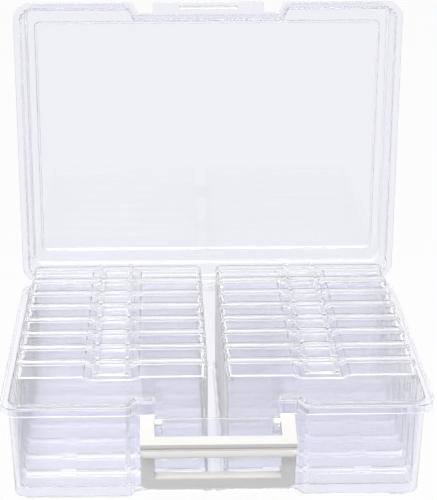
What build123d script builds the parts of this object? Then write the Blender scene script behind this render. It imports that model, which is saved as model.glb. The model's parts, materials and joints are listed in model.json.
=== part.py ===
"""Clear carry case that holds sixteen small photo cases in two rows, with a hinged lid and a latch handle.

Millimetres, +Z up. The origin is under the middle of the outer case, on the surface it stands on.
-Y is the front, where the handle is. The lid stands open, the handle hangs on its stop and every
photo case is closed and in its place.
"""

import os
from math import atan, copysign, cos, radians, sin, tan

from build123d import *

# Outer case, overall
CASE_WIDTH = 380.0  # over the rim
CASE_DEPTH = 292.0  # front of the rim to the lid's hinge axis
BASE_HEIGHT = 94.0  # underside to the top of the rim
LID_DEPTH = 34.3  # lid's mouth to the outside of its border
CASE_WALL = 2.2
CASE_FLOOR = 2.5
CASE_DRAFT = 1.7  # degrees, outer walls
CASE_CORNER = 13.0
CASE_REAR_CORNER = 3.2  # upright corners, at the rim
FLOOR_RADIUS = 2.4

# Rim of the base
RIM_OVERHANG = 7.0  # rim beyond the wall
RIM_THICKNESS = 2.2
RIM_CORNER = 17.0
SKIRT_HEIGHT = 8.4
SKIRT_WALL = 1.8

# Front recess, where the handle folds away
RECESS_HALF_WIDTH = 69.8  # at its back, in the rim
RECESS_SPLAY = 5.7  # how much further out its sides are at the front
RECESS_DEPTH = 11.8
RECESS_SIDE_GAP = 2.0  # rim's side to the body's side, in the recess
RECESS_DRAFT = 0.4  # degrees, back wall of the recess
RECESS_RADIUS = 4.0
WINDOW_HALF_WIDTH = 54.0
WINDOW_DEPTH = 20.5  # front wall cut down below the rim
WINDOW_RADIUS = 2.5
POCKET_HEIGHT = 13.5  # deep skirt beside the window

# Floor rails between the two rows
RAIL_HEIGHT = 9.0
RAIL_THICKNESS = 1.8
RAIL_SIDE_GAP = 0.4  # to the photo cases
RAIL_END_GAP = 6.0

# Lid
LID_OPEN_ANGLE = 90.0
RIM_GAP = 0.3  # lid's rim to base's rim when closed
LID_WALL = 2.0
LID_RIM_THICKNESS = 2.0
LID_RIM_WIDTH = 5.8
LID_DRAFT = 3.5  # degrees
LID_CORNER = 12.0
LID_EDGE_RADIUS = 3.0
LID_RECESS_DEPTH = 10.9
LID_RECESS_HALF_WIDTH = 72.0
LID_RECESS_SPLAY = 5.0
PANEL_SIDE = 18.0  # rim's edge to the raised panel
PANEL_FRONT = 26.0
PANEL_REAR = 23.5
PANEL_RISE = 1.5
PANEL_CORNER = 6.0
NOTCH_DEPTH = 10.5
NOTCH_SPLAY = 5.0
NOTCH_SIDE_GAP = 1.3  # to the handle's arms when it is latched
CATCH_HALF_WIDTH = 28.0  # low ridge on the lid's front tab
CATCH_SETBACK = 4.2
CATCH_WIDTH = 2.6
CATCH_HEIGHT = 1.1

# Lid hinge
HINGE_SPREAD = 125.0  # middle of each hinge from the middle of the case
BARREL_RADIUS = 3.0
BARREL_LENGTH = 40.0
EAR_WIDTH = 8.0
HINGE_END_GAP = 0.4
HINGE_PIN_RADIUS = 1.6
HINGE_PIN_LENGTH = 6.0
PIN_CLEARANCE = 0.08
HINGE_RIM_GAP = 0.9  # rear edge of each rim to the hinge axis
BARREL_CLEARANCE = 0.5
HEEL_LENGTH = 8.0
HEEL_THICKNESS = 2.6
HEEL_GAP = 0.3

# Handle
HANDLE_WIDTH = 134.8
HANDLE_BAR = 12.4  # width of each arm
HANDLE_HANG_ANGLE = 19.0  # arms below level, resting on the stop
PIVOT_FORWARD = 5.5  # pivot axis behind the front of the rim
PIVOT_DROP = 17.0  # pivot axis below the top of the rim
ARM_ABOVE = 4.0  # arm's inner face from the pivot axis
ARM_BELOW = 5.0
ARM_REACH = 30.7
CROSSBAR_THICKNESS = 9.8
GROOVE_WIDTH = 2.6
GROOVE_DEPTH = 1.6
LIP_HEIGHT = 8.2
LIP_CORNER = 6.0
LOOP_SETBACK = 1.2
HANDLE_STOP_REACH = 8.8  # heel behind the pivot that meets the pocket's lower edge
HANDLE_STOP_TOP = 0.35  # above the middle of the arm
HANDLE_STOP_THICKNESS = 3.0
LOOP_LENGTH = 53.4  # pivot axis to the end of the loop
LOOP_BAR = 14.0
LOOP_CORNER = 6.5
LOOP_INNER_CORNER = 1.5
HANDLE_EDGE = 0.8
HANDLE_PIN_RADIUS = 2.6
HANDLE_PIN_LENGTH = 6.0
LUG_WIDTH = 6.0
LUG_RADIUS = 4.8
LUG_SIDE_GAP = 0.4
LUG_FOOT_TOP = 23.0  # below the rim
LUG_FOOT_BOTTOM = 36.0

# Photo cases: two columns, each one a tray with a cover on its rear side
COLUMN_SPREAD = 92.3  # middle of each column from the middle of the case
ROWS = 8
ROW_GAP = 0.45  # between one photo case and the next
FRONT_GAP = 0.46  # front wall to the first photo case
REAR_GAP = 0.43  # last photo case to the rear wall
PHOTO_WIDTH = 167.0  # at the front face
PHOTO_HEIGHT = 108.5  # at the front face
PHOTO_CORNER = 5.0
PHOTO_BEVEL = 3.0  # lower corners
PHOTO_WALL = 1.3
PHOTO_DRAFT = 2.5  # degrees
FLANGE_THICKNESS = 1.3
COVER_DEPTH = 7.9
COVER_OVERHANG = 0.5  # cover beyond the tray, at the sides
COVER_RISE = 2.8  # cover above the tray
COVER_DROP = 1.6
TAB_REACH = 2.4  # into the tray
TAB_LENGTH = 14.0
TAB_WALL = 1.0
TAB_GAP = 0.3

# Clasp at the top of each photo case, lying in a dip of the tray's top
DIP_HALF_WIDTH = 17.6
DIP_SPLAY = 6.0
DIP_DEPTH = 3.0
CLASP_WIDTH = 31.0
CLASP_THICKNESS = 1.4
CLASP_REACH = 18.0  # forward of the cover
CLASP_GAP = 0.3  # above the tray
CLASP_RAIL = 4.0
CLASP_RAIL_HEIGHT = 2.2
CLASP_POST_RISE = 3.2  # above the cover
CLASP_POST_DEPTH = 4.8
HOOK_WIDTH = 1.6
KEEPER_GAP = 0.4  # hook to the ridge that it holds behind
KEEPER_HEIGHT = 0.7
KEEPER_LENGTH = 20.0

# Worked out from the sizes above
FRONT = -CASE_DEPTH / 2
HINGE_Y = CASE_DEPTH / 2
HINGE_Z = BASE_HEIGHT + RIM_GAP / 2
RECESS_Y = FRONT + RECESS_DEPTH
PIVOT_Y = FRONT + PIVOT_FORWARD
PIVOT_Z = BASE_HEIGHT - PIVOT_DROP
ARM_OUTER = HANDLE_WIDTH / 2
ARM_INNER = ARM_OUTER - HANDLE_BAR
WALL_LEAN = tan(radians(CASE_DRAFT))
CAVITY_FRONT = RECESS_Y + RIM_OVERHANG + CASE_WALL + (BASE_HEIGHT - CASE_FLOOR) * tan(radians(RECESS_DRAFT))
CAVITY_BACK = HINGE_Y - RIM_OVERHANG - CASE_WALL - (BASE_HEIGHT - CASE_FLOOR) * WALL_LEAN
ROW_PITCH = (CAVITY_BACK - CAVITY_FRONT - FRONT_GAP - REAR_GAP + ROW_GAP) / ROWS
TRAY_DEPTH = ROW_PITCH - ROW_GAP - COVER_DEPTH - FLANGE_THICKNESS  # front face to the front of its flange
TRAY_LEAN = tan(radians(PHOTO_DRAFT))
TRAY_FLARE = TRAY_DEPTH * TRAY_LEAN
COVER_HALF_WIDTH = PHOTO_WIDTH / 2 + TRAY_FLARE + COVER_OVERHANG
COVER_HEIGHT = PHOTO_HEIGHT + 2 * TRAY_FLARE + COVER_RISE + COVER_DROP
COVER_START = TRAY_DEPTH + FLANGE_THICKNESS
TINY = 0.001
STEEP = cos(radians(45))  # parts the upright edges and walls of a block from the level ones
SPLAY_ANGLE = atan(RECESS_SPLAY / RECESS_DEPTH)

# Planes that the lid and the handle are drawn on, in the places that they rest in
OPEN = radians(LID_OPEN_ANGLE)
HANG = radians(HANDLE_HANG_ANGLE)
LID_PLANE = Plane(origin=(0, HINGE_Y, HINGE_Z), x_dir=(1, 0, 0), z_dir=(0, sin(OPEN), cos(OPEN)))
PIVOT = (0, PIVOT_Y, PIVOT_Z)
HANDLE_FRONT = Plane(origin=PIVOT, x_dir=(1, 0, 0), z_dir=(0, -cos(HANG), -sin(HANG)))
HANDLE_SIDE = Plane(origin=PIVOT, x_dir=(0, -cos(HANG), -sin(HANG)), z_dir=(1, 0, 0))


def polygon(plane, points):
    """A flat outline with straight sides."""
    with BuildSketch(plane) as outline:
        with BuildLine():
            Polyline(*points, close=True)
        make_face()
    return outline.sketch


def stepped_points(half_width, front, back, recess):
    """The corners of a plan outline with a splayed step back in the middle of its front edge."""
    inner, splay, depth = recess
    return [
        (-half_width, back),
        (-half_width, front),
        (-inner - splay, front),
        (-inner, front + depth),
        (inner, front + depth),
        (inner + splay, front),
        (half_width, front),
        (half_width, back),
    ]


def upright_edges(solid, limit, outside):
    """A block's upright edges, front to back: those beyond a distance from its middle, or those within it."""
    rising = solid.edges().filter_by(lambda e: abs(e.tangent_at(0).Z) > STEEP)
    return rising.filter_by(lambda e: (abs(e.center().X) > limit) == outside).sort_by(Axis.Y)


def drafted_block(half_width, front, back, recess, height, slopes, radii, edge=0.0):
    """A block with leaning walls that narrows away from its open end at z = 0, towards height."""
    reach = recess[0] + recess[1] + TINY
    lean, recess_lean = (copysign(slope, height) for slope in slopes)
    front_radius, rear_radius, recess_radius = radii
    with BuildPart() as solid:
        extrude(polygon(Plane.XY, stepped_points(half_width, front, back, recess)), amount=height)
        sides = solid.faces().filter_by(Axis.Z, reverse=True).filter_by(lambda f: f.center().Y < 0)
        draft(sides.filter_by(lambda f: abs(f.center().X) < reach), Plane.XY, recess_lean)
        sides = solid.faces().filter_by(lambda f: abs(f.normal_at().Z) < STEEP)
        draft(sides.filter_by(lambda f: abs(f.center().X) > reach or f.center().Y > 0), Plane.XY, lean)
        between = (half_width + reach) / 2
        fillet(upright_edges(solid, between, True)[:2], front_radius)
        fillet(upright_edges(solid, between, True)[-2:], rear_radius)
        fillet(upright_edges(solid, between, False), recess_radius)
        if edge:
            chamfer(solid.edges().group_by(Axis.Z)[0 if height < 0 else -1], edge)
    return solid.part


def body(inset, height):
    """The solid form of the base, or of the room inside it where inset is the wall."""
    half_width = CASE_WIDTH / 2 - RIM_OVERHANG - inset
    front = FRONT + RIM_OVERHANG + inset
    back = HINGE_Y - RIM_OVERHANG - inset
    splay_inset = inset * (1 / cos(SPLAY_ANGLE) - tan(SPLAY_ANGLE))
    recess = (RECESS_HALF_WIDTH + RECESS_SIDE_GAP + splay_inset, RECESS_SPLAY, RECESS_DEPTH)
    radii = (CASE_CORNER - inset, CASE_REAR_CORNER - inset, RECESS_RADIUS)
    edge = 0.0 if inset else FLOOR_RADIUS
    return drafted_block(half_width, front, back, recess, -height, (CASE_DRAFT, RECESS_DRAFT), radii, edge)


def rim_section(height, inset=0.0):
    """The edge of the base's rim."""
    recess = (RECESS_HALF_WIDTH + inset, RECESS_SPLAY, RECESS_DEPTH)
    back = HINGE_Y - HINGE_RIM_GAP - inset
    points = stepped_points(CASE_WIDTH / 2 - inset, FRONT + inset, back, recess)
    return rounded(Plane.XY.offset(height), points, RIM_CORNER - inset)


def rounded(plane, points, corner):
    """A stepped outline with rounded corners."""
    half_width = max(x for x, _ in points)
    with BuildSketch(plane) as outline:
        add(polygon(Plane.XY, points))
        outer = outline.vertices().filter_by(lambda v: abs(v.X) > half_width - TINY)
        fillet(outer, corner)
        steps = outline.vertices().filter_by(lambda v: abs(v.X) < half_width / 2)
        fillet(steps, RECESS_RADIUS)
    return outline.sketch


def block(x, y, z, mode=Mode.ADD):
    """A plain block between two limits along each axis."""
    with Locations(((x[0] + x[1]) / 2, (y[0] + y[1]) / 2, (z[0] + z[1]) / 2)):
        Box(abs(x[1] - x[0]), abs(y[1] - y[0]), abs(z[1] - z[0]), mode=mode)


def rod(x, y, z, radius, mode=Mode.ADD):
    """A round rod along X."""
    with BuildSketch(Plane.YZ.offset(min(x))) as end:
        with Locations((y, z)):
            Circle(radius)
    extrude(end.sketch, amount=abs(x[1] - x[0]), mode=mode)


def slab(plane, x, y, depth, corner=0.0, mode=Mode.ADD):
    """A plate with four rounded corners, standing on a plane."""
    with BuildSketch(plane) as face:
        with Locations(((x[0] + x[1]) / 2, (y[0] + y[1]) / 2)):
            if corner:
                RectangleRounded(abs(x[1] - x[0]), abs(y[1] - y[0]), corner)
            else:
                Rectangle(abs(x[1] - x[0]), abs(y[1] - y[0]))
    extrude(face.sketch, amount=depth, mode=mode)


def pocket(side):
    """The deeper box of the rim on one side of the window, open below."""
    inner, outer = side * WINDOW_HALF_WIDTH, side * (RECESS_HALF_WIDTH + SKIRT_WALL)
    wall = RECESS_Y + RIM_OVERHANG + CASE_WALL / 2
    bottom = BASE_HEIGHT - POCKET_HEIGHT
    block((inner, outer), (RECESS_Y, wall), (bottom, BASE_HEIGHT))
    hollow = (inner + side * SKIRT_WALL, side * RECESS_HALF_WIDTH)
    behind = RECESS_Y + RIM_OVERHANG
    block(hollow, (RECESS_Y + SKIRT_WALL, behind), (bottom, BASE_HEIGHT - RIM_THICKNESS), Mode.SUBTRACT)


def window():
    """The front wall is cut down between the two pockets."""
    with BuildSketch(Plane.XZ.offset(-FRONT)) as opening:
        with Locations((0, BASE_HEIGHT)):
            Rectangle(2 * WINDOW_HALF_WIDTH, 2 * WINDOW_DEPTH)
        fillet(opening.vertices().group_by(Axis.Y)[0], WINDOW_RADIUS)
    reach = RECESS_DEPTH + RIM_OVERHANG + 2 * CASE_WALL
    extrude(opening.sketch, amount=-reach, mode=Mode.SUBTRACT)


def lug(side):
    """The ear that carries one pivot of the handle, with a hole for the handle's pin."""
    outer = ARM_INNER - LUG_SIDE_GAP
    inner = outer - LUG_WIDTH
    start = inner if side > 0 else -outer
    wall = RECESS_Y + RIM_OVERHANG + CASE_WALL / 2
    with BuildSketch(Plane.YZ.offset(start)) as profile:
        with BuildLine():
            Polyline(
                (wall, BASE_HEIGHT - LUG_FOOT_BOTTOM),
                (wall, BASE_HEIGHT - LUG_FOOT_TOP),
                (PIVOT_Y, PIVOT_Z + LUG_RADIUS),
                (PIVOT_Y - LUG_RADIUS, PIVOT_Z),
                close=True,
            )
        make_face()
        with Locations((PIVOT_Y, PIVOT_Z)):
            Circle(LUG_RADIUS)
            Circle(HANDLE_PIN_RADIUS + PIN_CLEARANCE, mode=Mode.SUBTRACT)
    extrude(profile.sketch, amount=LUG_WIDTH)


def hinge_ears(middle):
    """The limits along X of the lid's two ears at one hinge."""
    first = BARREL_LENGTH / 2 + HINGE_END_GAP
    return [(middle - first - EAR_WIDTH, middle - first), (middle + first, middle + first + EAR_WIDTH)]


def base_hinge(middle):
    """One barrel on the base's rear rim, bored at both ends, and the room for the lid's ears."""
    ends = (middle - BARREL_LENGTH / 2, middle + BARREL_LENGTH / 2)
    low = HINGE_Z - BARREL_RADIUS
    block(ends, (HINGE_Y - BARREL_RADIUS, HINGE_Y), (low, BASE_HEIGHT))
    rod(ends, HINGE_Y, HINGE_Z, BARREL_RADIUS)
    bore = HINGE_PIN_RADIUS + PIN_CLEARANCE
    for end, inward in zip(ends, (1, -1)):
        bottom = end + inward * (HINGE_PIN_LENGTH + HINGE_END_GAP)
        rod(sorted((end, bottom)), HINGE_Y, HINGE_Z, bore, Mode.SUBTRACT)
    reach = BARREL_RADIUS + BARREL_CLEARANCE
    for x in hinge_ears(middle):
        room = (x[0] - HINGE_END_GAP, x[1] + HINGE_END_GAP)
        block(room, (HINGE_Y - reach, HINGE_Y), (HINGE_Z - reach, BASE_HEIGHT), Mode.SUBTRACT)


def floor_rail(side):
    """The low rail on the floor beside one column of photo cases."""
    outer = COLUMN_SPREAD - COVER_HALF_WIDTH - RAIL_SIDE_GAP
    x = (side * outer, side * (outer - RAIL_THICKNESS))
    y = (CAVITY_FRONT + RAIL_END_GAP, CAVITY_BACK - RAIL_END_GAP)
    block(x, y, (CASE_FLOOR - TINY, CASE_FLOOR + RAIL_HEIGHT))


outside = body(0.0, BASE_HEIGHT)
inside = body(CASE_WALL, BASE_HEIGHT - CASE_FLOOR)

with BuildPart() as outer_case:
    extrude(rim_section(BASE_HEIGHT), amount=-SKIRT_HEIGHT)
    extrude(rim_section(BASE_HEIGHT - RIM_THICKNESS, SKIRT_WALL), amount=-POCKET_HEIGHT, mode=Mode.SUBTRACT)
    for side in (-1, 1):
        pocket(side)
    with Locations((0.0, 0.0, BASE_HEIGHT)):
        add(outside)
        add(inside, mode=Mode.SUBTRACT)
    window()
    for side in (-1, 1):
        floor_rail(side)
        lug(side)
        base_hinge(side * HINGE_SPREAD)


def lid_form(inset, height):
    """The solid form of the lid above its rim, or of the hollow in it where inset is the wall."""
    half_width = CASE_WIDTH / 2 - LID_RIM_WIDTH - inset
    front = -CASE_DEPTH + LID_RIM_WIDTH + inset
    back = -LID_RIM_WIDTH - inset
    middle = (front + back) / 2
    splay_inset = inset * (1 / cos(SPLAY_ANGLE) - tan(SPLAY_ANGLE))
    recess = (LID_RECESS_HALF_WIDTH + splay_inset, LID_RECESS_SPLAY, LID_RECESS_DEPTH)
    radii = (LID_CORNER - inset, LID_CORNER - inset, RECESS_RADIUS)
    edge = 0.0 if inset else LID_EDGE_RADIUS
    form = drafted_block(
        half_width, front - middle, back - middle, recess, height, (LID_DRAFT, LID_DRAFT), radii, edge
    )
    return form.moved(Location(LID_PLANE.offset(RIM_GAP / 2)) * Location((0.0, middle, 0.0)))


def panel(rise, inset=0.0):
    """The raised panel of the lid's top, or the hollow under it."""
    half_width = CASE_WIDTH / 2 - PANEL_SIDE - inset
    y = (-CASE_DEPTH + PANEL_FRONT + inset, -PANEL_REAR - inset)
    plane = LID_PLANE.offset(LID_DEPTH + rise - inset)
    mode = Mode.SUBTRACT if inset else Mode.ADD
    slab(plane, (-half_width, half_width), y, -rise - LID_WALL / 2, PANEL_CORNER - inset, mode)


def handle_notch(side):
    """The notch in the lid's front rim that one arm of the handle passes through."""
    outer = ARM_OUTER + NOTCH_SIDE_GAP
    back = -CASE_DEPTH + NOTCH_DEPTH
    front = -CASE_DEPTH - RIM_GAP
    with BuildSketch(LID_PLANE.offset(-LID_RIM_THICKNESS)) as notch:
        with BuildLine():
            Polyline(
                (side * WINDOW_HALF_WIDTH, front),
                (side * WINDOW_HALF_WIDTH, back),
                (side * outer, back),
                (side * (outer + NOTCH_SPLAY), front),
                close=True,
            )
        make_face()
    extrude(notch.sketch, amount=3 * LID_RIM_THICKNESS, mode=Mode.SUBTRACT)


def lid_hinge(middle):
    """Two ears with stub pins and heels, and the room between them for the base's barrel."""
    reach = BARREL_RADIUS + BARREL_CLEARANCE
    half = BARREL_LENGTH / 2 + HINGE_END_GAP
    room = (middle - half, middle + half)
    slab(LID_PLANE.offset(-reach), room, (-reach, reach), 2 * reach, 0.0, Mode.SUBTRACT)
    for x, inward in zip(hinge_ears(middle), (1, -1)):
        slab(LID_PLANE.offset(RIM_GAP / 2), x, (-reach, 0.0), BARREL_RADIUS - RIM_GAP / 2)
        rod(x, HINGE_Y, HINGE_Z, BARREL_RADIUS)
        inner = max(x) if inward > 0 else min(x)
        rod(sorted((inner, inner + inward * HINGE_PIN_LENGTH)), HINGE_Y, HINGE_Z, HINGE_PIN_RADIUS)
        heel = LID_PLANE.offset(HEEL_GAP - HINGE_RIM_GAP)
        slab(heel, x, (0.0, HEEL_LENGTH), HEEL_THICKNESS)


lid_outside = lid_form(0.0, LID_DEPTH - RIM_GAP / 2)
lid_inside = lid_form(LID_WALL, LID_DEPTH - RIM_GAP / 2 - LID_WALL)

with BuildPart() as lid:
    add(lid_outside)
    panel(PANEL_RISE)
    rim = LID_PLANE.offset(RIM_GAP / 2)
    y = (-CASE_DEPTH, -HINGE_RIM_GAP)
    slab(rim, (-CASE_WIDTH / 2, CASE_WIDTH / 2), y, LID_RIM_THICKNESS, RIM_CORNER)
    add(lid_inside, mode=Mode.SUBTRACT)
    panel(PANEL_RISE, LID_WALL)
    for side in (-1, 1):
        handle_notch(side)
        lid_hinge(side * HINGE_SPREAD)
    catch = (-CASE_DEPTH + CATCH_SETBACK, -CASE_DEPTH + CATCH_SETBACK + CATCH_WIDTH)
    above = LID_PLANE.offset(RIM_GAP / 2 + LID_RIM_THICKNESS)
    slab(above, (-CATCH_HALF_WIDTH, CATCH_HALF_WIDTH), catch, CATCH_HEIGHT)


def handle_arm(side):
    """One arm of the handle, with its stub pin and the heel that rests on the case."""
    start = ARM_INNER if side > 0 else -ARM_OUTER
    radius = (ARM_ABOVE + ARM_BELOW) / 2
    middle = (ARM_BELOW - ARM_ABOVE) / 2
    inner = ARM_REACH - CROSSBAR_THICKNESS
    with BuildSketch(HANDLE_SIDE.offset(start)) as profile:
        with Locations((inner / 2, middle)):
            Rectangle(inner, 2 * radius)
        with Locations((0.0, middle)):
            Circle(radius)
        with Locations((-HANDLE_STOP_REACH / 2, HANDLE_STOP_THICKNESS / 2 - HANDLE_STOP_TOP)):
            Rectangle(HANDLE_STOP_REACH, HANDLE_STOP_THICKNESS)
    extrude(profile.sketch, amount=HANDLE_BAR)
    pin = (side * ARM_INNER, side * (ARM_INNER - HANDLE_PIN_LENGTH))
    rod(sorted(pin), PIVOT_Y, PIVOT_Z, HANDLE_PIN_RADIUS)


with BuildPart() as carry_handle:
    back_face = HANDLE_FRONT.offset(ARM_REACH - CROSSBAR_THICKNESS)
    lip_end = GROOVE_WIDTH + LIP_HEIGHT
    with BuildSketch(back_face) as loop:
        with Locations((0.0, (ARM_ABOVE - LOOP_LENGTH) / 2)):
            Rectangle(HANDLE_WIDTH, ARM_ABOVE + LOOP_LENGTH)
        fillet(loop.vertices().group_by(Axis.Y)[0], LOOP_CORNER)
        with Locations((0.0, -(lip_end + LOOP_LENGTH - LOOP_BAR) / 2)):
            RectangleRounded(
                2 * ARM_INNER, LOOP_LENGTH - LOOP_BAR - lip_end, LOOP_INNER_CORNER, mode=Mode.SUBTRACT
            )
    extrude(amount=CROSSBAR_THICKNESS - LOOP_SETBACK)
    faces = carry_handle.faces().sort_by(Axis(PIVOT, HANDLE_FRONT.z_dir))
    chamfer(faces[0].edges() + faces[-1].edges(), HANDLE_EDGE)
    with BuildSketch(back_face) as head:
        with Locations((0.0, (ARM_ABOVE - lip_end) / 2)):
            Rectangle(HANDLE_WIDTH, ARM_ABOVE + lip_end)
        fillet(head.vertices().group_by(Axis.Y)[0], LIP_CORNER)
    extrude(amount=CROSSBAR_THICKNESS)
    groove = HANDLE_FRONT.offset(ARM_REACH - GROOVE_DEPTH)
    slab(groove, (-HANDLE_WIDTH, HANDLE_WIDTH), (-GROOVE_WIDTH, 0.0), 2 * GROOVE_DEPTH, 0.0, Mode.SUBTRACT)
    for side in (-1, 1):
        handle_arm(side)


def case_profile(depth, half_width, bottom, top, inset, dip):
    """An outline of a photo case, rounded above and bevelled below, or of the room inside it."""
    points = [(-half_width, top), (-half_width, bottom), (half_width, bottom), (half_width, top)]
    if dip:
        points += [(dip + DIP_SPLAY, top), (dip, top - DIP_DEPTH)]
        points += [(-dip, top - DIP_DEPTH), (-dip - DIP_SPLAY, top)]
    bevel = PHOTO_BEVEL - inset * (2 - 1 / sin(radians(45)))
    with BuildSketch(Plane.XZ.offset(-depth)) as outline:
        add(polygon(Plane.XY, points))
        corners = outline.vertices().filter_by(lambda v: abs(v.X) > half_width - TINY).sort_by(Axis.Y)
        if inset:
            chamfer(corners, bevel)
        else:
            fillet(corners[2:], PHOTO_CORNER)
            corners = outline.vertices().filter_by(lambda v: abs(v.X) > half_width - TINY).sort_by(Axis.Y)
            chamfer(corners[:2], bevel)
    return outline.sketch


def tray_face(depth, inset=0.0):
    """The outline of a photo tray at a depth behind its front face."""
    flare = depth * TRAY_LEAN - inset
    bottom = COVER_DROP + TRAY_FLARE
    top = bottom + PHOTO_HEIGHT
    dip = DIP_HALF_WIDTH + inset
    return case_profile(depth, PHOTO_WIDTH / 2 + flare, bottom - flare, top + flare, inset, dip)


def cover_face(depth, inset=0.0):
    """The outline of the cover at a depth behind the tray's front face."""
    return case_profile(depth, COVER_HALF_WIDTH - inset, inset, COVER_HEIGHT - inset, inset, 0.0)


TRAY_TOP = COVER_DROP + 2 * TRAY_FLARE + PHOTO_HEIGHT  # at the flange
DIP_FLOOR = TRAY_TOP - DIP_DEPTH
HOOK_Y = COVER_START - CLASP_REACH
HOOK_FLOOR = DIP_FLOOR - (TRAY_DEPTH - HOOK_Y) * TRAY_LEAN

with BuildPart() as photo_tray:
    loft([tray_face(0.0), tray_face(TRAY_DEPTH)], ruled=True)
    extrude(cover_face(TRAY_DEPTH), amount=-FLANGE_THICKNESS)
    hollow = [tray_face(PHOTO_WALL, PHOTO_WALL), tray_face(COVER_START, PHOTO_WALL)]
    loft(hollow, ruled=True, mode=Mode.SUBTRACT)
    passage = (-DIP_HALF_WIDTH, DIP_HALF_WIDTH)
    block(passage, (TRAY_DEPTH, COVER_START), (DIP_FLOOR, COVER_HEIGHT), Mode.SUBTRACT)
    ridge = HOOK_Y + HOOK_WIDTH + KEEPER_GAP
    keeper = (-KEEPER_LENGTH / 2, KEEPER_LENGTH / 2)
    block(keeper, (ridge, ridge + HOOK_WIDTH), (HOOK_FLOOR - KEEPER_HEIGHT, HOOK_FLOOR + KEEPER_HEIGHT))


def cover_tab(x, z):
    """One of the tabs inside the cover that reach into the mouth of the tray."""
    block(x, (COVER_START - TAB_REACH, COVER_START + COVER_DEPTH - PHOTO_WALL + TINY), z)


def cover_tabs():
    """Two tabs at the bottom and one at each side."""
    mouth = COVER_START * TRAY_LEAN - PHOTO_WALL - TAB_GAP
    bottom = COVER_DROP + TRAY_FLARE - mouth
    outer = PHOTO_WIDTH / 2 + mouth
    level = COVER_HEIGHT / 2
    half = TAB_LENGTH / 2
    for side in (-1, 1):
        cover_tab((side * outer, side * (outer - TAB_WALL)), (level - half, level + half))
        middle = side * PHOTO_WIDTH / 4
        cover_tab((middle - half, middle + half), (bottom, bottom + TAB_WALL))


with BuildPart() as photo_cover:
    extrude(cover_face(COVER_START), amount=-COVER_DEPTH)
    extrude(cover_face(COVER_START, PHOTO_WALL), amount=PHOTO_WALL - COVER_DEPTH, mode=Mode.SUBTRACT)
    cover_tabs()
    tongue = DIP_FLOOR + CLASP_GAP
    half = CLASP_WIDTH / 2
    block((-half, half), (HOOK_Y, COVER_START + CLASP_THICKNESS), (tongue, tongue + CLASP_THICKNESS))
    block((-half, half), (COVER_START, COVER_START + CLASP_THICKNESS), (tongue, COVER_HEIGHT))
    block((-half, half), (HOOK_Y, HOOK_Y + HOOK_WIDTH), (HOOK_FLOOR + CLASP_GAP, tongue + TINY))
    for side in (-1, 1):
        edge = (side * half, side * (half - CLASP_RAIL))
        block(edge, (HOOK_Y, COVER_START + TINY), (tongue, tongue + CLASP_THICKNESS + CLASP_RAIL_HEIGHT))
        block(edge, (COVER_START, COVER_START + CLASP_POST_DEPTH), (tongue, COVER_HEIGHT + CLASP_POST_RISE))


def keep(solid, name):
    """Write one named piece to its own file."""
    solid.label = name
    export_step(solid, f"parts/{name}.step")


os.makedirs("parts", exist_ok=True)
keep(outer_case.part, "outer_case")
keep(lid.part, "lid")
keep(carry_handle.part, "carry_handle")
for column in range(2):
    for row in range(ROWS):
        x = (column - 1 / 2) * 2 * COLUMN_SPREAD
        y = CAVITY_FRONT + FRONT_GAP + row * ROW_PITCH
        number = column * ROWS + row + 1
        place = Location((x, y, CASE_FLOOR))
        keep(photo_tray.part.moved(place), f"photo_case_tray_{number:02d}")
        keep(photo_cover.part.moved(place), f"photo_case_cover_{number:02d}")
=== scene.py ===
"""Dresses the photo keeper case: clear mouldings with softened edges, an ivory handle, a plain studio."""
import json
import math

import bmesh
import bpy
from mathutils import Matrix, Vector


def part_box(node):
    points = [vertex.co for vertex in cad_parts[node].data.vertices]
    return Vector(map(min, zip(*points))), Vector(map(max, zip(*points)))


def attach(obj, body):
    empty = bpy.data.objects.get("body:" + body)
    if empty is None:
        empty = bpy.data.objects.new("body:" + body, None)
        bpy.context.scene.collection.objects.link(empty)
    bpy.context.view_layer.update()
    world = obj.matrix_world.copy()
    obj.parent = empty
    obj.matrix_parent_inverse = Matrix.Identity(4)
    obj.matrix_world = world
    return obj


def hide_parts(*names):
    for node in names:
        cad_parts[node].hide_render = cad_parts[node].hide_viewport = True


bl_info = {
    "name": "Photo Keeper Case",
    "version": (1, 0, 0),
    "blender": (4, 5, 0),
    "location": "3D View > Sidebar > Photo Case",
    "description": "Builds the clear photo keeper case around its packed frame",
    "category": "Add Mesh",
}

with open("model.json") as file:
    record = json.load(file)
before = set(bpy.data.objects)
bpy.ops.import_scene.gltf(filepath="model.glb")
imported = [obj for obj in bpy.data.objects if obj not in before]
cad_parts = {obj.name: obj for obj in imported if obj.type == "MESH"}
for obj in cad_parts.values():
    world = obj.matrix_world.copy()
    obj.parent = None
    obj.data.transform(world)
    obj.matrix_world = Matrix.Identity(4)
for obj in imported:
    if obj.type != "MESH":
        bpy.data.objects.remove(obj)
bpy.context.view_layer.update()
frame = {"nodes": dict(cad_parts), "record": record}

MM = 0.001
BODY_OF = {node: body for body, nodes in frame["record"]["behaviour"]["bodies"].items() for node in nodes}
PHOTO_CASES = sorted(node for node in BODY_OF if node.startswith("photo_case_"))
TRAYS = [node for node in PHOTO_CASES if "tray" in node]

# Which faces of a clear moulding are smoothed
LEVEL = math.radians(0.5)  # faces nearer than this are one flat wall
ROUND = math.radians(30)  # facets of a rounded corner meet at less than this
FACET_WIDTH = 6 * MM
SHARP = math.radians(35)  # edges that the moulding tool rounds
SLIM = 0.4  # a facet shares at least this much of its length with its neighbour
WELD = 0.002 * MM  # corners nearer than this are one corner

# Edge rounding: steps across the edge; photo cases also shrink a little so that they never touch
CASE_STEPS = 3
PHOTO_STEPS = 2
HANDLE_EDGE = 0.6
HANDLE_STEPS = 3
PHOTO_SHRINK = 0.06

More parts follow.
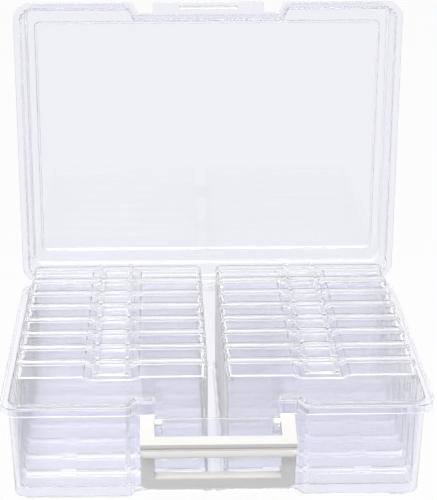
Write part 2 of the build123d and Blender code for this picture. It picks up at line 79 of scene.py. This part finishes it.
# Finish of the plastics: roughness, and the size (mm) and strength of the ripple left by the melt
CASE_FINISH = (0.03, 30, 0.004)
PHOTO_FINISH = (0.05, 18, 0.002)
CASE_TINTS = {"outer_case": "#F7F7FC", "lid": "#F2F2F9"}
PHOTO_TINT = "#FDFDFE"
POLYSTYRENE_IOR = 1.5
ABS_IOR = 1.52

# Handle: its front plane and the bead below its groove, mm
HANDLE_HANG = math.radians(19)
HANDLE_PIVOT = Vector((0.0, -140.5, 77.0))
BEAD_HALF_LENGTH = 67.3
BEAD_CORNER = 6.0
BEAD_TOP = -2.8
BEAD_PROFILE = (  # down from the pivot axis, out along the arms
    (-2.8, 26.0),
    (-2.8, 28.9),
    (-4.2, 30.9),
    (-6.2, 32.7),
    (-8.2, 33.8),
    (-9.2, 33.8),
    (-9.8, 33.1),
    (-10.0, 31.5),
    (-10.0, 26.0),
)

# Small round forms on each photo case, mm
BOSS_RADIUS = 1.9
BOSS_LENGTH = 0.6
BOSS_SUNK = 0.1  # its middle behind the tray's front, so 0.2 stands proud
BOSS_EDGE = 5.6  # tray's side to the middle of the boss
BOSS_DROP = 7.4  # tray's top edge to the middle of the boss
ROUND_SIDES = 16

# Studio, in metres and watts: name, place, width, depth, power
LAMPS = (
    ("lamp_key", (-0.4, -1.3, 1.8), 0.8, 0.8, 28.0),
    ("lamp_top", (0.2, 0.0, 2.2), 1.4, 0.6, 11.0),
)
LAMP_AIM = Vector((0, 0, 0.1))
FLOOR_HALF = 6.0
FLOOR_Z = -0.2 * MM
FLOOR_GLOW = 0.96  # the rest of the floor is paint, which keeps the shadow
SKY_LIGHT = 0.15
BOUNCES = 128  # light runs far along the thin clear walls before it leaves them

# Camera: place in mm, pitch, yaw and roll in degrees, focal length in pixels of the taller side
CAMERA_PLACE = (-47.79, -1397.134, 709.713)
CAMERA_TURN = (20.544, 1.108, 0.103)
CAMERA_FOCAL = 1607.342
PICTURE_HEIGHT = 500
SENSOR = 36.0
CAMERA_SHIFT = (0.0564, -0.0035)


def linear(hex_colour):
    """Linear RGB of an sRGB hex colour."""
    values = [int(hex_colour[i : i + 2], 16) / 255 for i in (1, 3, 5)]
    return [v / 12.92 if v <= 0.04045 else ((v + 0.055) / 1.055) ** 2.4 for v in values]


def rgba(hex_colour):
    """The same colour with full alpha, as node sockets want it."""
    return (*linear(hex_colour), 1.0)


def add(tree, kind, values=None, **settings):
    """Adds one node, sets its settings, and sets or links its inputs by name or number."""
    node = tree.nodes.new(kind)
    for key, value in settings.items():
        setattr(node, key, value)
    for key, value in (values or {}).items():
        socket = node.inputs[key]
        if isinstance(value, bpy.types.NodeSocket):
            tree.links.new(value, socket)
        else:
            socket.default_value = value
    return node


def new_material(name):
    """An empty node material with its output node."""
    material = bpy.data.materials.new(name)
    material.use_nodes = True
    material.node_tree.nodes.clear()
    return material, material.node_tree, material.node_tree.nodes.new("ShaderNodeOutputMaterial")


def clear_plastic(name, tint, roughness, density, flow_mm, flow):
    """Injection-moulded clear polystyrene: bright, hard and glassy, with a cool grey that gathers where
    many walls stand behind each other, and a very faint ripple from the flow of the melt."""
    material, tree, out = new_material(name)
    place = add(tree, "ShaderNodeTexCoord")
    melt = add(
        tree,
        "ShaderNodeTexNoise",
        {"Vector": place.outputs["Object"], "Scale": 1 / (flow_mm * MM), "Detail": 1.0},
    )
    bump = add(
        tree,
        "ShaderNodeBump",
        {"Height": melt.outputs["Fac"], "Strength": flow, "Distance": 0.3 * MM},
    )
    shell = add(
        tree,
        "ShaderNodeBsdfPrincipled",
        {
            "Base Color": rgba(tint),
            "Roughness": roughness,
            "IOR": POLYSTYRENE_IOR,
            "Transmission Weight": 1.0,
            "Normal": bump.outputs["Normal"],
        },
    )
    passing = add(tree, "ShaderNodeBsdfTransparent", {"Color": (0.985, 0.985, 0.99, 1.0)})
    ray = add(tree, "ShaderNodeLightPath")
    mix = add(
        tree,
        "ShaderNodeMixShader",
        {"Fac": ray.outputs["Is Shadow Ray"], 1: shell.outputs["BSDF"], 2: passing.outputs["BSDF"]},
    )
    depth = add(tree, "ShaderNodeVolumeAbsorption", {"Color": rgba("#8C92B0"), "Density": density})
    tree.links.new(mix.outputs["Shader"], out.inputs["Surface"])
    tree.links.new(depth.outputs["Volume"], out.inputs["Volume"])
    return material


def painted_highlight_plastic():
    """The rounded edges of the clear mouldings, in a half-clear white that paints fine white highlight lines
    along them, standing in for the glints of the lamps on the edges."""
    material, tree, out = new_material("clear_polystyrene_painted_highlight_edges")
    shell = add(
        tree,
        "ShaderNodeBsdfPrincipled",
        {
            "Base Color": rgba("#FFFFFF"),
            "Roughness": 0.25,
            "IOR": POLYSTYRENE_IOR,
            "Transmission Weight": 0.45,
        },
    )
    tree.links.new(shell.outputs["BSDF"], out.inputs["Surface"])
    return material


def moulded_abs(name, colour, roughness):
    """Moulded ABS in ivory white: an even colour with a soft satin sheen and a fine sparked grain."""
    material, tree, out = new_material(name)
    place = add(tree, "ShaderNodeTexCoord").outputs["Object"]
    grain = add(tree, "ShaderNodeTexNoise", {"Vector": place, "Scale": 1 / (0.6 * MM), "Detail": 2.0})
    cloud = add(tree, "ShaderNodeTexNoise", {"Vector": place, "Scale": 1 / (25 * MM), "Detail": 2.0})
    gloss = add(
        tree,
        "ShaderNodeMapRange",
        {"Value": cloud.outputs["Fac"], "To Min": roughness - 0.04, "To Max": roughness + 0.06},
    )
    bump = add(
        tree,
        "ShaderNodeBump",
        {"Height": grain.outputs["Fac"], "Strength": 0.12, "Distance": 0.05 * MM},
    )
    shell = add(
        tree,
        "ShaderNodeBsdfPrincipled",
        {
            "Base Color": rgba(colour),
            "Roughness": gloss.outputs["Result"],
            "IOR": ABS_IOR,
            "Normal": bump.outputs["Normal"],
        },
    )
    tree.links.new(shell.outputs["BSDF"], out.inputs["Surface"])
    return material


def plain_mesh(piece):
    """Applies a piece's modifiers and leaves it a plain mesh."""
    result = bpy.data.meshes.new_from_object(piece.evaluated_get(bpy.context.evaluated_depsgraph_get()))
    piece.modifiers.clear()
    piece.data = result
    return piece


def linked(name, data):
    """A new object in the scene."""
    piece = bpy.data.objects.new(name, data)
    bpy.context.scene.collection.objects.link(piece)
    return piece


def flat_groups(mesh):
    """Sets of neighbouring faces that lie in one plane."""
    seen, groups = set(), []
    for first in mesh.faces:
        if first in seen:
            continue
        group, waiting = [], [first]
        seen.add(first)
        while waiting:
            face = waiting.pop()
            group.append(face)
            for edge in face.edges:
                for other in edge.link_faces:
                    if other not in seen and edge.calc_face_angle(math.pi) < LEVEL:
                        seen.add(other)
                        waiting.append(other)
        groups.append(group)
    return groups


def smooth_rounds(mesh):
    """Smooths the facets of rounded corners only, so that light goes straight through the flat walls."""
    for group in flat_groups(mesh):
        corners = [vert.co for vert in {vert for face in group for vert in face.verts}]
        reach = max((corner - corners[0]).length for corner in corners)
        edges = [edge for face in group for edge in face.edges]
        turns = [edge for edge in edges if LEVEL <= edge.calc_face_angle(math.pi) < ROUND]
        shared = max((edge.calc_length() for edge in turns), default=0.0)
        slim = sum(face.calc_area() for face in group) < reach * FACET_WIDTH
        for face in group:
            face.smooth = slim and shared > SLIM * reach


def softened(node, edge_mm, segments, shrink_mm=0.0, clamp=False):
    """A copy of a CAD moulding with its sharp edges rounded, as a moulding tool leaves them. With clamp, all
    edges get only what the shortest one has room for."""
    mesh = bmesh.new()
    mesh.from_mesh(frame["nodes"][node].data)
    bmesh.ops.remove_doubles(mesh, verts=mesh.verts, dist=WELD)
    smooth_rounds(mesh)
    data = bpy.data.meshes.new(node + "_moulded")
    mesh.to_mesh(data)
    mesh.free()
    data.materials.append(None)
    data.materials.append(None)
    piece = linked(node + "_moulded", data)
    bevel = piece.modifiers.new("edges", "BEVEL")
    bevel.width = edge_mm * MM
    bevel.segments = segments
    bevel.limit_method = "ANGLE"
    bevel.angle_limit = SHARP
    bevel.use_clamp_overlap = clamp
    bevel.loop_slide = False  # sliding corners would fold the flat walls
    # the rounded edge faces take the second slot, the white that paints highlight lines
    bevel.material = 1
    if shrink_mm:
        inset = piece.modifiers.new("clearance", "DISPLACE")
        inset.strength = -shrink_mm * MM
        inset.mid_level = 0.0
    plain_mesh(piece)
    for face in piece.data.polygons:
        face.use_smooth = face.use_smooth or face.material_index == 1
    return piece


def dress(piece, node, wall, edge):
    """Gives the piece its materials and its body, and hides the CAD node that it stands for."""
    piece.data.materials[0] = wall
    # second slot: the painted-highlight white of the rounded edges
    piece.data.materials[1] = edge
    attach(piece, BODY_OF[node])
    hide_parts(node)


def repeat_tree():
    """A Geometry Nodes tree: a straight row of equal round bars or bosses."""
    tree = bpy.data.node_groups.new("row_of_rounds", "GeometryNodeTree")
    tree.is_modifier = True
    for name, kind in (
        ("Count", "NodeSocketInt"),
        ("Start", "NodeSocketVector"),
        ("Step", "NodeSocketVector"),
        ("Radius", "NodeSocketFloat"),
        ("Length", "NodeSocketFloat"),
        ("Turn", "NodeSocketVector"),
        ("Material", "NodeSocketMaterial"),
    ):
        tree.interface.new_socket(name, in_out="INPUT", socket_type=kind)
    tree.interface.new_socket("Geometry", in_out="OUTPUT", socket_type="NodeSocketGeometry")
    given = add(tree, "NodeGroupInput").outputs
    line = add(
        tree,
        "GeometryNodeMeshLine",
        {"Count": given["Count"], "Start Location": given["Start"], "Offset": given["Step"]},
    )
    bar = add(tree, "GeometryNodeMeshCylinder", {"Radius": given["Radius"], "Depth": given["Length"]})
    bar.inputs["Vertices"].default_value = ROUND_SIDES
    placed = add(
        tree,
        "GeometryNodeInstanceOnPoints",
        {"Points": line.outputs["Mesh"], "Instance": bar.outputs["Mesh"], "Rotation": given["Turn"]},
    )
    whole = add(tree, "GeometryNodeRealizeInstances", {"Geometry": placed.outputs["Instances"]})
    finish = add(
        tree,
        "GeometryNodeSetMaterial",
        {"Geometry": whole.outputs["Geometry"], "Material": given["Material"]},
    )
    add(tree, "NodeGroupOutput", {"Geometry": finish.outputs["Geometry"]})
    return tree


def repeated(name, tree, values):
    """One row made by the tree, as a plain mesh."""
    piece = linked(name, bpy.data.meshes.new(name))
    row = piece.modifiers.new("row", "NODES")
    row.node_group = tree
    for item in tree.interface.items_tree:
        if item.in_out == "INPUT":
            row[item.identifier] = values[item.name]
    plain_mesh(piece)
    piece.data.shade_smooth()
    piece.data.set_sharp_from_angle(angle=SHARP)
    return piece


def boss_row(tray, material):
    """The tree's inputs for the pair of bosses near the top corners of a tray."""
    low, high = (Vector(corner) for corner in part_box(tray))
    middle = (low.x + high.x) / 2
    half = (high.x - low.x) / 2 - BOSS_EDGE * MM
    return {
        "Count": 2,
        "Start": (middle - half, low.y + BOSS_SUNK * MM, high.z - BOSS_DROP * MM),
        "Step": (2 * half, 0.0, 0.0),
        "Radius": BOSS_RADIUS * MM,
        "Length": BOSS_LENGTH * MM,
        "Turn": (math.pi / 2, 0.0, 0.0),
        "Material": material,
    }


def handle_point(x, down, out):
    """A point in the handle's own directions: along the axis, down its loop and out along its arms, mm."""
    outward = Vector((0.0, -math.cos(HANDLE_HANG), -math.sin(HANDLE_HANG)))
    upward = Vector((0.0, -math.sin(HANDLE_HANG), math.cos(HANDLE_HANG)))
    return (HANDLE_PIVOT + Vector((x, 0.0, 0.0)) + down * upward + out * outward) * MM


def bead():
    """The rounded lip under the groove of the handle, with rounded lower corners."""
    turns = [math.radians(angle) for angle in range(0, 91, 15)]
    ends = [(BEAD_CORNER * (1 - math.sin(turn)), BEAD_CORNER * (1 - math.cos(turn))) for turn in turns]
    stations = [(-BEAD_HALF_LENGTH + inset, lift) for inset, lift in reversed(ends)]
    stations += [(BEAD_HALF_LENGTH - inset, lift) for inset, lift in ends]
    lowest = BEAD_PROFILE[-1][0]
    mesh = bmesh.new()
    rings = []
    for x, lift in stations:
        share = (BEAD_TOP - lowest - lift) / (BEAD_TOP - lowest)
        ring = [handle_point(x, BEAD_TOP + (down - BEAD_TOP) * share, out) for down, out in BEAD_PROFILE]
        rings.append([mesh.verts.new(point) for point in ring])
    for left, right in zip(rings, rings[1:]):
        for i in range(len(left)):
            j = (i + 1) % len(left)
            mesh.faces.new((left[i], left[j], right[j], right[i]))
    mesh.faces.new(rings[0])
    mesh.faces.new(reversed(rings[-1]))
    bmesh.ops.recalc_face_normals(mesh, faces=mesh.faces)
    data = bpy.data.meshes.new("handle_bead")
    mesh.to_mesh(data)
    mesh.free()
    data.shade_smooth()
    data.set_sharp_from_angle(angle=math.radians(50))
    return linked("handle_bead", data)


class PhotoCaseSettings(bpy.types.PropertyGroup):
    """Sizes and finishes that a user would change."""

    edge: bpy.props.FloatProperty(
        name="Edge radius",
        description="Rounding of the moulded edges, mm",
        default=0.45,
        min=0.0,
        max=1.0,
    )
    photo_edge: bpy.props.FloatProperty(
        name="Photo case edge",
        description="The same for the small cases, mm",
        default=0.48,
        min=0.0,
        max=1.0,
    )
    depth: bpy.props.FloatProperty(
        name="Depth of colour",
        description="How fast the clear plastic darkens with depth",
        default=1.0,
        min=0.0,
    )


def settings():
    return bpy.context.scene.photo_case_settings


class PHOTOCASE_OT_case(bpy.types.Operator):
    """Finishes the outer case and the lid in clear plastic"""

    bl_idname = "photocase.case"
    bl_label = "Outer case and lid"

    def execute(self, context):
        # painted highlight: a half-clear white on the rounded edges stands in for lamp glints
        edges = painted_highlight_plastic()
        roughness, flow_mm, flow = CASE_FINISH
        for node, tint in CASE_TINTS.items():
            name = "clear_polystyrene_" + node
            plastic = clear_plastic(name, tint, roughness, settings().depth, flow_mm, flow)
            dress(softened(node, settings().edge, CASE_STEPS), node, plastic, edges)
        return {"FINISHED"}


class PHOTOCASE_OT_photo_cases(bpy.types.Operator):
    """Finishes the small photo cases in clear plastic, with the round bosses on their trays"""

    bl_idname = "photocase.photo_cases"
    bl_label = "Photo cases"

    def execute(self, context):
        roughness, flow_mm, flow = PHOTO_FINISH
        name = "clear_polystyrene_photo_case"
        plastic = clear_plastic(name, PHOTO_TINT, roughness, settings().depth, flow_mm, flow)
        # painted highlight: a half-clear white on the rounded edges stands in for lamp glints
        edges = painted_highlight_plastic()
        for node in PHOTO_CASES:
            piece = softened(node, settings().photo_edge, PHOTO_STEPS, PHOTO_SHRINK)
            dress(piece, node, plastic, edges)
        tree = repeat_tree()
        for node in TRAYS:
            # the bosses are coloured with the same painted-highlight white
            bosses = repeated("photo_case_bosses_" + node[-2:], tree, boss_row(node, edges))
            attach(bosses, BODY_OF[node])
        return {"FINISHED"}


class PHOTOCASE_OT_handle(bpy.types.Operator):
    """Finishes the carry handle in ivory plastic"""

    bl_idname = "photocase.handle"
    bl_label = "Carry handle"

    def execute(self, context):
        ivory = moulded_abs("ivory_moulded_abs", "#FBFAF7", 0.38)
        dress(softened("carry_handle", HANDLE_EDGE, HANDLE_STEPS, clamp=True), "carry_handle", ivory, ivory)
        lip = bead()
        lip.data.materials.append(ivory)
        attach(lip, BODY_OF["carry_handle"])
        return {"FINISHED"}


def seen_directly(tree):
    """One where the ray comes from the camera, a reflection or the clear plastic, and nought elsewhere."""
    ray = add(tree, "ShaderNodeLightPath").outputs
    seen = ray["Is Camera Ray"]
    for kind in ("Is Transmission Ray", "Is Glossy Ray"):
        seen = add(tree, "ShaderNodeMath", {0: seen, 1: ray[kind]}, operation="MAXIMUM").outputs[0]
    return seen


def studio_floor():
    """A pale floor that keeps a little of the object's shadow."""
    half = FLOOR_HALF
    corners = [(x, y, FLOOR_Z) for x, y in ((-half, -half), (half, -half), (half, half), (-half, half))]
    data = bpy.data.meshes.new("floor")
    data.from_pydata(corners, [], [(0, 1, 2, 3)])
    material, tree, out = new_material("studio_floor")
    paint = add(tree, "ShaderNodeBsdfDiffuse", {"Color": rgba("#D2D2D5")})
    glow = add(tree, "ShaderNodeEmission", {"Color": (1, 1, 1, 1), "Strength": 1.0})
    share = add(tree, "ShaderNodeMath", {0: seen_directly(tree), 1: FLOOR_GLOW}, operation="MULTIPLY")
    mix = add(tree, "ShaderNodeMixShader", {0: share.outputs[0], 1: paint.outputs[0], 2: glow.outputs[0]})
    tree.links.new(mix.outputs[0], out.inputs["Surface"])
    data.materials.append(material)
    linked("floor", data)


def studio_world():
    """An even white surround that is dimmer where it lights the object."""
    world = bpy.data.worlds.new("studio")
    bpy.context.scene.world = world
    world.use_nodes = True
    tree = world.node_tree
    tree.nodes.clear()
    sky = add(tree, "ShaderNodeBackground", {"Color": (1, 1, 1, 1), "Strength": SKY_LIGHT})
    white = add(tree, "ShaderNodeBackground", {"Color": (1, 1, 1, 1), "Strength": 1.0})
    mix = add(tree, "ShaderNodeMixShader", {0: seen_directly(tree), 1: sky.outputs[0], 2: white.outputs[0]})
    add(tree, "ShaderNodeOutputWorld", {"Surface": mix.outputs[0]})


def studio_lamp(name, place, width, depth, power):
    """A soft rectangular lamp that looks at the case."""
    data = bpy.data.lights.new(name, "AREA")
    data.shape = "RECTANGLE"
    data.size = width
    data.size_y = depth
    data.energy = power
    lamp = linked(name, data)
    lamp.location = place
    lamp.rotation_mode = "QUATERNION"
    lamp.rotation_quaternion = (LAMP_AIM - Vector(place)).to_track_quat("-Z", "Y")


def studio_camera():
    """The camera, from its pitch, yaw, roll and place."""
    data = bpy.data.cameras.new("camera")
    camera = linked("camera", data)
    bpy.context.scene.camera = camera
    pitch, yaw, roll = (math.radians(v) for v in CAMERA_TURN)
    ahead = Vector((math.sin(yaw) * math.cos(pitch), math.cos(yaw) * math.cos(pitch), -math.sin(pitch)))
    level = Vector((math.cos(yaw), -math.sin(yaw), 0.0))
    fall = ahead.cross(level)
    right = math.cos(roll) * level + math.sin(roll) * fall
    down = -math.sin(roll) * level + math.cos(roll) * fall
    turn = Matrix((right, -down, -ahead)).transposed().to_4x4()
    camera.matrix_world = Matrix.Translation(Vector(CAMERA_PLACE) * MM) @ turn
    data.sensor_width = SENSOR
    data.lens = CAMERA_FOCAL / PICTURE_HEIGHT * SENSOR
    data.shift_x, data.shift_y = CAMERA_SHIFT
    data.clip_start = 0.05
    data.clip_end = 50.0


class PHOTOCASE_OT_stage(bpy.types.Operator):
    """Builds the floor, the lamps, the world and the camera"""

    bl_idname = "photocase.stage"
    bl_label = "Studio"

    def execute(self, context):
        studio_floor()
        studio_world()
        for lamp in LAMPS:
            studio_lamp(*lamp)
        studio_camera()
        return {"FINISHED"}


class PHOTOCASE_PT_panel(bpy.types.Panel):
    """Lists the pieces in the sidebar"""

    bl_label = "Photo Case"
    bl_space_type = "VIEW_3D"
    bl_region_type = "UI"
    bl_category = "Photo Case"

    def draw(self, context):
        for name in PhotoCaseSettings.__annotations__:
            self.layout.prop(context.scene.photo_case_settings, name)
        for operator in OPERATORS:
            self.layout.operator(operator.bl_idname)


OPERATORS = (PHOTOCASE_OT_case, PHOTOCASE_OT_photo_cases, PHOTOCASE_OT_handle, PHOTOCASE_OT_stage)
CLASSES = (PhotoCaseSettings, *OPERATORS, PHOTOCASE_PT_panel)


def register():
    for cls in CLASSES:
        bpy.utils.register_class(cls)
    bpy.types.Scene.photo_case_settings = bpy.props.PointerProperty(type=PhotoCaseSettings)


def unregister():
    del bpy.types.Scene.photo_case_settings
    for cls in reversed(CLASSES):
        bpy.utils.unregister_class(cls)


def main():
    register()
    bpy.context.scene.view_settings.view_transform = "Standard"
    cycles = bpy.context.scene.cycles
    cycles.max_bounces = BOUNCES
    cycles.glossy_bounces = BOUNCES
    cycles.transmission_bounces = BOUNCES
    cycles.transparent_max_bounces = BOUNCES
    for name in ("case", "photo_cases", "handle", "stage"):
        getattr(bpy.ops.photocase, name)()


if __name__ == "__main__":
    main()
